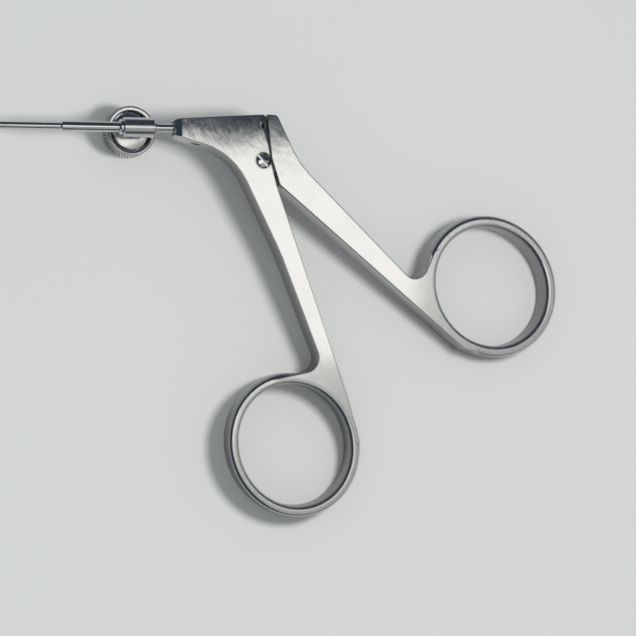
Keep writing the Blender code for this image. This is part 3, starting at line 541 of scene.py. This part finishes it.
@dataclass
class Bench:
    """Where every piece is finished, named and tied to its body, and the node that it stands for is
    hidden.

    Attributes:
        instrument: The instrument that the pieces belong to.
        finishes: The material of each slot.
    """

    instrument: Instrument
    finishes: dict[Slot, bpy.types.Material]

    def stand_for(self, piece: bpy.types.Object, node: str) -> bpy.types.Object:
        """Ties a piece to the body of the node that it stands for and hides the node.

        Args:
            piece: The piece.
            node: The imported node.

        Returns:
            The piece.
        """
        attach(piece, self.instrument.bodies[node].value)
        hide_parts(node)
        LOG.info("made %s with %d faces", piece.name, len(piece.data.polygons))
        return piece

    def refine(self, node: str, finish: bpy.types.Material | None = None) -> bpy.types.Object:
        """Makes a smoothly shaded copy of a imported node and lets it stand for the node.

        Args:
            node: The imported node.
            finish: The copy's material, or nothing for that of the node's slot.

        Returns:
            The copy.
        """
        packed = self.instrument.nodes[node]
        piece = bpy.data.objects.new(node + "_finished", packed.data.copy())
        bpy.context.collection.objects.link(piece)
        select_only(piece)
        bpy.ops.object.mode_set(mode="EDIT")
        bpy.ops.mesh.select_all(action="SELECT")
        bpy.ops.mesh.remove_doubles(threshold=WELD)
        bpy.ops.mesh.dissolve_limited(angle_limit=math.radians(FLAT_ANGLE))
        bpy.ops.object.mode_set(mode="OBJECT")
        settle(piece, node + "_finished", finish or self.finishes[self.instrument.slots[node]])
        return self.stand_for(piece, node)


@dataclass
class Handles:
    """The fixed handle with the head, and the moving handle.

    Attributes:
        bench: Where the pieces are finished.
        fixed_heading: The direction of the fixed arm in the plane of the handles, in degrees.
        moving_heading: The direction of the moving arm.
        steepest_face: The share of +Z in a normal below which a face counts as a wall.
    """

    bench: Bench
    fixed_heading: float = -73.0
    moving_heading: float = -39.0
    steepest_face: float = 0.35

    def build(self) -> None:
        """Finishes both handles."""
        self.dress("fixed_handle", self.fixed_heading)
        self.dress("moving_handle", self.moving_heading)

    def dress(self, node: str, heading: float) -> None:
        """Gives a handle polished faces and rougher walls, which are darker through painted shade.

        Args:
            node: The handle's node.
            heading: The direction of its arm in the plane of the handles, in degrees.
        """
        instrument = self.bench.instrument
        faces = replace(HANDLE_FACES, name=node + "_faces", heading=heading).make(instrument)
        walls = replace(HANDLE_WALLS, name=node + "_walls", heading=heading).make(instrument)
        piece = self.bench.refine(node, faces)
        piece.data.materials.append(walls)
        up = instrument.place.to_3x3() @ Vector((0, 0, 1))
        # Steep faces take the walls' material with its painted shade.
        for face in piece.data.polygons:
            face.material_index = int(abs(face.normal.dot(up)) < self.steepest_face)


@dataclass
class PivotScrew:
    """The slotted screw with a domed head that both handles turn on.

    Attributes:
        bench: Where the pieces are finished.
        shank_share: The share of the screw's length, from its foot, over which its shank is measured.
        head_height: The height of the head with its dome.
        land: The height of the straight edge under the dome, and the radius of its flat top.
        dome_slope: The slope of the dome at its edge, in degrees.
        dome_steps: How many chords the dome has.
        slot_width: The width of the slot.
        slot_depth: The depth of the slot under the top of the dome.
        slot_heading: The direction of the slot, in degrees.
        blade_length: The length of the saw blade, which is more than the head's diameter.
    """

    bench: Bench
    shank_share: float = 0.4
    head_height: float = 1.0 * MM
    land: float = 0.03 * MM
    dome_slope: float = 24.0
    dome_steps: int = 8
    slot_width: float = 0.5 * MM
    slot_depth: float = 0.4 * MM
    slot_heading: float = -49.0
    blade_length: float = 4.0 * MM

    def build(self) -> None:
        """Turns the screw and saws its slot."""
        instrument = self.bench.instrument
        extent = instrument.extent("pivot_screw")
        head = extent.size.x / 2
        top = extent.high.z
        foot = extent.low.z
        shank = instrument.radius_between("pivot_screw", foot, foot + extent.size.z * self.shank_share)
        slope = math.radians(self.dome_slope)
        sphere = head / math.sin(slope)
        rise = sphere * (1 - math.cos(slope))
        shoulder = top - self.head_height
        angles = [slope * (1 - i / self.dome_steps) for i in range(self.dome_steps)]
        dome = [(sphere * math.sin(angle), top - sphere * (1 - math.cos(angle))) for angle in angles]
        profile = [(shank, foot), (shank, shoulder), (head, shoulder), (head, top - rise - self.land)]
        profile += dome + [(self.land, top)]
        axis = instrument.place @ Matrix.Translation((extent.middle.x, extent.middle.y, 0))
        piece = lathe(profile, axis)
        self.saw(piece, axis, top)
        settle(piece, "domed_pivot_screw", self.bench.finishes[Slot.SCREWS])
        self.bench.stand_for(piece, "pivot_screw")

    def saw(self, piece: bpy.types.Object, axis: Matrix, top: float) -> None:
        """Saws the slot across the head.

        Args:
            piece: The screw.
            axis: The screw's own place.
            top: The height of the top of the dome.
        """
        bpy.ops.mesh.primitive_cube_add(size=1)
        blade = bpy.context.object
        turn = Matrix.Rotation(math.radians(self.slot_heading), 4, "Z")
        size = Matrix.Diagonal((self.blade_length, self.slot_width, 2 * self.slot_depth, 1))
        blade.matrix_world = axis @ Matrix.Translation((0, 0, top)) @ turn @ size
        select_only(piece)
        cut = piece.modifiers.new("slot", "BOOLEAN")
        cut.operation = "DIFFERENCE"
        cut.object = blade
        cut.solver = "EXACT"
        bpy.ops.object.modifier_apply(modifier="slot")
        bpy.data.objects.remove(blade)


@dataclass
class CleaningPort:
    """The barrel along the shaft, its threaded neck and the knurled cap.

    Attributes:
        bench: Where the pieces are finished.
        foot_chamfer: The chamfer at the cap's foot.
        foot_inset: How far the cap's side stands back over that chamfer.
        knurl_count: How many teeth the knurl has round the cap.
        knurl_rows: How many rows of corners the knurl has.
        knurl_depth: The depth of the knurl.
        knurl_foot: The plain height under the knurl.
        knurl_head: The plain height over the knurl.
        knurl_dark: The shares of its depth at which the knurl's painted shade is darkest and at which it
            is fully bright.
        knurl_roughness: The mean roughness of the knurl.
        rim_gap: The height from the knurl to the plain rim.
        rim_inset: How far the rim stands back from the knurl.
        rim_round: The rounding of the rim.
        line_radius: The radius of the fine line in the rim's face.
        line_width: The width of the line.
        line_depth: The depth of the line.
        line_lip: The eased lip of the line.
        ledge_drop: How far the ledge inside the line lies under the rim.
        land_radius: The middle of the rounding of the ledge.
        land_drop: The depth of that middle under the rim.
        land_round: The rounding of the ledge.
        bore_radius: The radius of the cap's mouth.
        bore_drop: How far the mouth's wall starts under the ledge.
        floor_thickness: The thickness of the cap's floor.
        sharp_from: The angle from which the cap's edges stay sharp, in degrees.
        neck_chamfer: The chamfer at the neck's foot.
        shoulder_drop: How far the neck's shoulder lies under the start of the dome's room.
        shoulder_round: The rounding of the shoulder.
        dome_radius: The radius of the neck inside the cap.
        dome_inset: How far the dome starts inside the neck's side.
        dome_slope: The slope of the dome at its edge, in degrees.
        dome_drop: How far the room for the dome starts under the cap's rim.
        dome_steps: How many chords the dome has.
        waist_radius: The radius of the neck over the dome.
        waist_flare: The flare between the dome and that waist.
        barrel_roughness: The mean roughness of the brushed barrel.
    """

    bench: Bench
    foot_chamfer: float = 0.3 * MM
    foot_inset: float = 0.06 * MM
    knurl_count: int = 54
    knurl_rows: int = 4
    knurl_depth: float = 0.28 * MM
    knurl_foot: float = 0.5 * MM
    knurl_head: float = 0.45 * MM
    knurl_dark: tuple[float, float] = (0.95, 0.45)
    knurl_roughness: float = 0.25
    rim_gap: float = 0.1 * MM
    rim_inset: float = 0.04 * MM
    rim_round: float = 0.22 * MM
    line_radius: float = 4.84 * MM
    line_width: float = 0.14 * MM
    line_depth: float = 0.3 * MM
    line_lip: float = 0.02 * MM
    ledge_drop: float = 0.05 * MM
    land_radius: float = 4.42 * MM
    land_drop: float = 0.25 * MM
    land_round: float = 0.2 * MM
    bore_radius: float = 4.1 * MM
    bore_drop: float = 0.3 * MM
    floor_thickness: float = 0.9 * MM
    sharp_from: float = 24.0
    neck_chamfer: float = 0.2 * MM
    shoulder_drop: float = 0.5 * MM
    shoulder_round: float = 0.15 * MM
    dome_radius: float = 3.84 * MM
    dome_inset: float = 0.12 * MM
    dome_slope: float = 13.0
    dome_drop: float = 0.25 * MM
    dome_steps: int = 10
    waist_radius: float = 1.3 * MM
    waist_flare: float = 0.3 * MM
    barrel_roughness: float = 0.23

    def build(self) -> None:
        """Makes the pieces of the port."""
        self.cap()
        self.neck()
        brushed = replace(FINISHES[Slot.PORT], name="brushed_steel", roughness=self.barrel_roughness)
        self.bench.refine("barrel", brushed.make(self.bench.instrument))
        for node in ("cap_seal", "rod_seal", "sleeve_collar"):
            self.bench.refine(node)

    def cap(self) -> None:
        """Turns the cap, presses its diamond knurl and paints shade into the knurl's grooves and a
        highlight on its teeth.
        """
        instrument = self.bench.instrument
        extent = instrument.extent("port_cap")
        radius = extent.size.x / 2
        low, top = extent.low.z, extent.high.z
        edge = self.rim_round
        band_low, band_high = low + self.knurl_foot, top - self.knurl_head
        rows = [band_low + (band_high - band_low) * i / (self.knurl_rows - 1)
                for i in range(self.knurl_rows)]
        groove_out = self.line_radius + self.line_width / 2
        groove_in = self.line_radius - self.line_width / 2
        profile = [(radius - self.foot_chamfer, low), (radius - self.foot_inset, low + self.foot_chamfer)]
        profile += [(radius, height) for height in rows]
        profile += [(radius - self.rim_inset, band_high + self.rim_gap)]
        profile += rounded((radius - self.rim_inset - edge, top - edge), edge, 0, 90)
        profile += [(groove_out, top - self.line_lip), (groove_out - self.line_lip, top - self.line_depth),
                    (groove_in + self.line_lip, top - self.line_depth), (groove_in, top - self.ledge_drop)]
        profile += rounded((self.land_radius, top - self.land_drop), self.land_round, 90, 180, 4)
        profile += [(self.bore_radius, top - self.land_drop - self.bore_drop),
                    (self.bore_radius, low + self.floor_thickness)]
        axis = instrument.place @ Matrix.Translation((extent.middle.x, extent.middle.y, 0))
        piece = lathe(profile, axis, 2 * self.knurl_count)
        self.knurl(piece, axis, rows, radius)
        settle(piece, "diamond_knurled_cap", self.bench.finishes[Slot.CAP], self.sharp_from)
        # The knurl's material carries painted shade in its grooves and a painted highlight on its teeth.
        deep, shallow = self.knurl_dark
        knurled = replace(FINISHES[Slot.CAP], name="knurl", colour=KNURL_HIGHLIGHT_GREY,
                          roughness=self.knurl_roughness,
                          groove=(radius - deep * self.knurl_depth, radius - shallow * self.knurl_depth))
        piece.data.materials.append(knurled.make(instrument))
        for face in piece.data.polygons:
            own = axis.inverted() @ face.center
            across = math.hypot(own.x, own.y) > radius - 1.2 * self.knurl_depth
            face.material_index = int(across and rows[0] < own.z < rows[-1])
        self.bench.stand_for(piece, "port_cap")

    def knurl(self, piece: bpy.types.Object, axis: Matrix, rows: Sequence[float], radius: float) -> None:
        """Sinks every second corner of the knurled band, staggered from row to row.

        Args:
            piece: The turned cap.
            axis: The cap's own place.
            rows: The heights of the rows of corners.
            radius: The cap's radius.
        """
        inverse = axis.inverted()
        pitch = math.pi / self.knurl_count
        sunk = (radius - self.knurl_depth) / radius
        for vertex in piece.data.vertices:
            own = inverse @ vertex.co
            if math.hypot(own.x, own.y) < radius - NEAR:
                continue
            row = min(range(len(rows)), key=lambda i: abs(rows[i] - own.z))
            step = round(math.atan2(own.y, own.x) / pitch)
            if (row + step) % 2:
                vertex.co = axis @ Vector((own.x * sunk, own.y * sunk, own.z))
        bpy.ops.object.mode_set(mode="EDIT")
        bpy.ops.mesh.select_all(action="DESELECT")
        bpy.ops.object.mode_set(mode="OBJECT")
        for face in piece.data.polygons:
            corners = [inverse @ piece.data.vertices[i].co for i in face.vertices]
            face.select = all(rows[0] - NEAR < c.z < rows[-1] + NEAR
                              and math.hypot(c.x, c.y) > radius - 2 * self.knurl_depth for c in corners)
        bpy.ops.object.mode_set(mode="EDIT")
        bpy.ops.mesh.quads_convert_to_tris(quad_method="SHORTEST_DIAGONAL")
        bpy.ops.object.mode_set(mode="OBJECT")

    def neck(self) -> None:
        """Turns the neck with a shallow shoulder inside the mouth of the cap."""
        instrument = self.bench.instrument
        extent = instrument.extent("port_neck")
        cap_top = instrument.extent("port_cap").high.z
        shoulder = cap_top - self.dome_drop - self.shoulder_drop
        foot, top = extent.low.z, extent.high.z
        waist, flare, corner = self.waist_radius, self.waist_flare, self.shoulder_round
        profile = [(self.dome_radius - self.neck_chamfer, foot),
                   (self.dome_radius, foot + self.neck_chamfer),
                   (self.dome_radius, shoulder - corner)]
        profile += rounded((self.dome_radius - corner, shoulder - corner), corner, 0, 60, 3)
        edge = self.dome_radius - self.dome_inset
        sphere = edge / math.sin(math.radians(self.dome_slope))
        for i in range(self.dome_steps + 1):
            radius = edge + (waist + flare - edge) * i / self.dome_steps
            drop = math.sqrt(sphere ** 2 - radius ** 2) - math.sqrt(sphere ** 2 - edge ** 2)
            profile.append((radius, shoulder + drop))
        profile += [(waist, profile[-1][1] + flare), (waist, top)]
        axis = instrument.place @ Matrix.Translation((extent.middle.x, extent.middle.y, 0))
        piece = lathe(profile, axis)
        settle(piece, "turned_port_neck", self.bench.finishes[Slot.PORT])
        self.bench.stand_for(piece, "port_neck")


@dataclass
class Shaft:
    """The tubes of the shaft, the set screw, and the rod with its ball.

    Attributes:
        bench: Where the pieces are finished.
    """

    bench: Bench

    def build(self) -> None:
        """Finishes the pieces along the shaft."""
        for node in ("shaft_tube", "reinforcing_sleeve", "rear_tube", "set_screw", "pull_rod", "rod_ball"):
            self.bench.refine(node)


@dataclass
class CupHead:
    """The biopsy cups with their housing, pins and drive.

    Attributes:
        bench: Where the pieces are finished.
    """

    bench: Bench

    def build(self) -> None:
        """Finishes the pieces at the tip."""
        for node in ("jaw_housing", "jaw_pin", "drive_pin", "jaw_drive", "upper_jaw", "lower_jaw"):
            self.bench.refine(node)


@dataclass(frozen=True)
class Panel:
    """A glowing panel over the instrument.

    Attributes:
        name: The panel's name.
        corners: Its corners along the instrument's own axes, in metres.
        colour: The colour of its light.
        strength: How brightly it glows.
    """

    name: str
    corners: tuple[tuple[float, float], ...]
    colour: Colour
    strength: float


PANELS = (
    Panel("bright_panel", ((-0.12, 0.06), (0.10, 0.102), (0.145, 0.099), (0.171, 0.089), (0.182, 0.097),
                           (0.189, 0.100), (0.199, 0.090), (0.212, 0.097), (0.24, 0.095), (0.42, 0.06),
                           (0.42, 0.026), (0.02, -0.172), (-0.12, -0.172)),
          (1.0, 0.99, 0.965), 1.42),
    Panel("grey_panel", ((0.02, -0.197), (0.42, 0.001), (0.44, 0.06), (1.3, 0.10), (1.3, -0.9),
                         (0.02, -0.9)), (0.96, 0.99, 1.0), 0.5),
    Panel("right_reflector", ((1.3, -6.0), (6.0, -6.0), (6.0, 6.0), (1.3, 6.0)), (0.97, 0.99, 1.0), 0.42),
)


@dataclass
class Studio:
    """The worktop, the lamps and the camera.

    Attributes:
        instrument: The axes that the lamps and the camera are set to.
        camera_place: The camera in the instrument's axes.
        camera_target: The point of the handles' upper face in the middle of the picture.
        camera_roll: How far the camera leans from the instrument's +Y, in degrees.
        lens_mm: The focal length for a 36 mm sensor.
        panels: The panels that polished surfaces mirror.
        worktop_size: The length of the worktop's sides.
        worktop_colour: The worktop's colour under the key lamp.
        worktop_clouding: How many soft clouds of tone the worktop has along one metre.
        fill_share: The share of the light on the worktop that comes from all round.
        most_lift: How far the worktop's tone is lifted at most, away from the key lamp.
        panel_height: The height of the panels over the pivot of the handles.
        key_place: The key lamp in the instrument's axes.
        key_radius: The key lamp's radius.
        key_power: The key lamp's power.
        key_colour: The colour of the key lamp's light.
        fill_strength: The strength of the light from all round.
        fill_colour: The colour of the light from all round.
        room_colour: What polished surfaces mirror beyond the panels.
    """

    instrument: Instrument
    camera_place: Vector = field(default_factory=lambda: Vector((-88.26, -38.06, 279.42)) * MM)
    camera_target: Vector = field(default_factory=lambda: Vector((10.78, -33.13, 2.65)) * MM)
    camera_roll: float = -2.0
    lens_mm: float = 79.25
    panels: tuple[Panel, ...] = PANELS
    worktop_size: float = 6.0
    worktop_colour: Colour = (0.655, 0.665, 0.66)
    worktop_clouding: float = 9.0
    fill_share: float = 0.45
    most_lift: float = 1.35
    panel_height: float = 0.6
    key_place: Vector = field(default_factory=lambda: Vector((52.0, -15.0, 127.0)) * MM)
    key_radius: float = 20.0 * MM
    key_power: float = 25.0
    key_colour: Colour = (1.0, 0.995, 0.985)
    fill_strength: float = 0.42
    fill_colour: Colour = (0.95, 0.98, 1.0)
    room_colour: Colour = (0.042, 0.058, 0.08)

    def build(self) -> None:
        """Sets up everything round the instrument."""
        self.worktop()
        self.camera()
        self.key_lamp()
        for panel in self.panels:
            self.hang(panel)
        self.surroundings()
        bpy.context.scene.view_settings.view_transform = "Standard"

    def worktop(self) -> None:
        """Lays the pale worktop, whose tone evens out the near lamp."""
        bpy.ops.mesh.primitive_grid_add(x_subdivisions=8, y_subdivisions=8, size=self.worktop_size)
        top = bpy.context.object
        top.name = "worktop"
        wiring = Wiring("worktop_grey")
        lamp = self.instrument.to_row(self.key_place)
        away = wiring.math("DIVIDE", wiring.far_from((lamp.x, lamp.y, 0.0)), lamp.z)
        slant = wiring.math("SQRT", wiring.math("ADD", wiring.math("MULTIPLY", away, away), 1.0))
        lit = wiring.math("ADD", wiring.math("DIVIDE", 1.0 - self.fill_share, slant), self.fill_share)
        even = wiring.math("MINIMUM", wiring.math("DIVIDE", 1.0, lit), self.most_lift)
        cloud = wiring.noise(wiring.along((0, 0, 0), (self.worktop_clouding,) * 3), 3.0, 0.5)
        level = wiring.math("MULTIPLY", even, wiring.spread(cloud, 0.99, 1.0))
        tone = wiring.node("ShaderNodeVectorMath", {0: self.worktop_colour}, operation="SCALE")
        wiring.tree.links.new(level, tone.inputs["Scale"])
        shader = wiring.node("ShaderNodeBsdfPrincipled", {
            "Base Color": tone.outputs[0], "Roughness": 0.45, "Specular IOR Level": 0.3})
        wiring.tree.links.new(shader.outputs[0], wiring.output.inputs[0])
        top.data.materials.append(wiring.material)

    def camera(self) -> None:
        """Puts the camera where the photograph was taken from."""
        place = self.instrument.to_row(self.camera_place)
        ahead = (self.instrument.to_row(self.camera_target) - place).normalized()
        upright = self.instrument.place.to_3x3() @ Vector((0, 1, 0))
        right = ahead.cross(upright).normalized()
        turn = Matrix((right, right.cross(ahead), -ahead)).transposed().to_4x4()
        roll = Matrix.Rotation(math.radians(self.camera_roll), 4, "Z")
        bpy.ops.object.camera_add()
        camera = bpy.context.object
        camera.name = "camera"
        camera.data.lens = self.lens_mm
        camera.data.sensor_width = 36.0
        camera.data.clip_start = 0.01
        camera.matrix_world = Matrix.Translation(place) @ turn @ roll
        bpy.context.scene.camera = camera

    def key_lamp(self) -> None:
        """Hangs the near lamp that casts the soft shadows."""
        bpy.ops.object.light_add(type="POINT", location=self.instrument.to_row(self.key_place))
        lamp = bpy.context.object
        lamp.name = "key_lamp"
        lamp.data.shadow_soft_size = self.key_radius
        lamp.data.energy = self.key_power
        lamp.data.color = self.key_colour
        lamp.data.use_nodes = True
        tree = lamp.data.node_tree
        falloff = tree.nodes.new("ShaderNodeLightFalloff")
        falloff.inputs["Strength"].default_value = 1.0
        tree.links.new(falloff.outputs["Constant"], tree.nodes["Emission"].inputs["Strength"])
        lamp.visible_glossy = False
        lamp.visible_camera = False

    def hang(self, made: Panel) -> None:
        """Hangs a glowing panel that only polished surfaces see.

        Args:
            made: The panel.
        """
        bpy.ops.mesh.primitive_circle_add(vertices=len(made.corners), fill_type="NGON")
        panel = bpy.context.object
        panel.name = made.name
        for vertex, corner in zip(panel.data.vertices, made.corners):
            vertex.co = self.instrument.to_row((*corner, self.panel_height))
        wiring = Wiring(made.name)
        glow = wiring.node("ShaderNodeEmission", {"Color": (*made.colour, 1.0), "Strength": made.strength})
        wiring.tree.links.new(glow.outputs[0], wiring.output.inputs[0])
        panel.data.materials.append(wiring.material)
        panel.visible_diffuse = False
        panel.visible_shadow = False
        panel.visible_camera = False

    def surroundings(self) -> None:
        """Gives diffuse surfaces an even fill and polished ones a dim room."""
        world = bpy.data.worlds.new("room")
        bpy.context.scene.world = world
        world.use_nodes = True
        tree = world.node_tree
        tree.nodes.clear()
        output = tree.nodes.new("ShaderNodeOutputWorld")
        mix = tree.nodes.new("ShaderNodeMixShader")
        path = tree.nodes.new("ShaderNodeLightPath")
        fill = tree.nodes.new("ShaderNodeBackground")
        fill.inputs["Color"].default_value = (*self.fill_colour, 1.0)
        fill.inputs["Strength"].default_value = self.fill_strength
        room = tree.nodes.new("ShaderNodeBackground")
        room.inputs["Color"].default_value = (*self.room_colour, 1.0)
        room.inputs["Strength"].default_value = 1.0
        lit = tree.nodes.new("ShaderNodeMath")
        lit.operation = "LESS_THAN"
        lit.inputs[1].default_value = 0.5
        tree.links.new(path.outputs["Diffuse Depth"], lit.inputs[0])
        mirrored = tree.nodes.new("ShaderNodeMath")
        mirrored.operation = "MULTIPLY"
        tree.links.new(path.outputs["Is Glossy Ray"], mirrored.inputs[0])
        tree.links.new(lit.outputs[0], mirrored.inputs[1])
        tree.links.new(mirrored.outputs[0], mix.inputs[0])
        tree.links.new(fill.outputs[0], mix.inputs[1])
        tree.links.new(room.outputs[0], mix.inputs[2])
        tree.links.new(mix.outputs[0], output.inputs[0])


def main() -> None:
    """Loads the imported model, dresses it and sets up the studio."""
    logging.basicConfig(level=logging.INFO, format="%(message)s")
    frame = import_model()
    bpy.ops.object.select_all(action="DESELECT")
    instrument = Instrument.from_frame(frame)
    bench = Bench(instrument, {slot: finish.make(instrument) for slot, finish in FINISHES.items()})
    for assembly in (Handles(bench), PivotScrew(bench), CleaningPort(bench), Shaft(bench), CupHead(bench)):
        assembly.build()
    Studio(instrument).build()


if __name__ == "__main__":
    main()
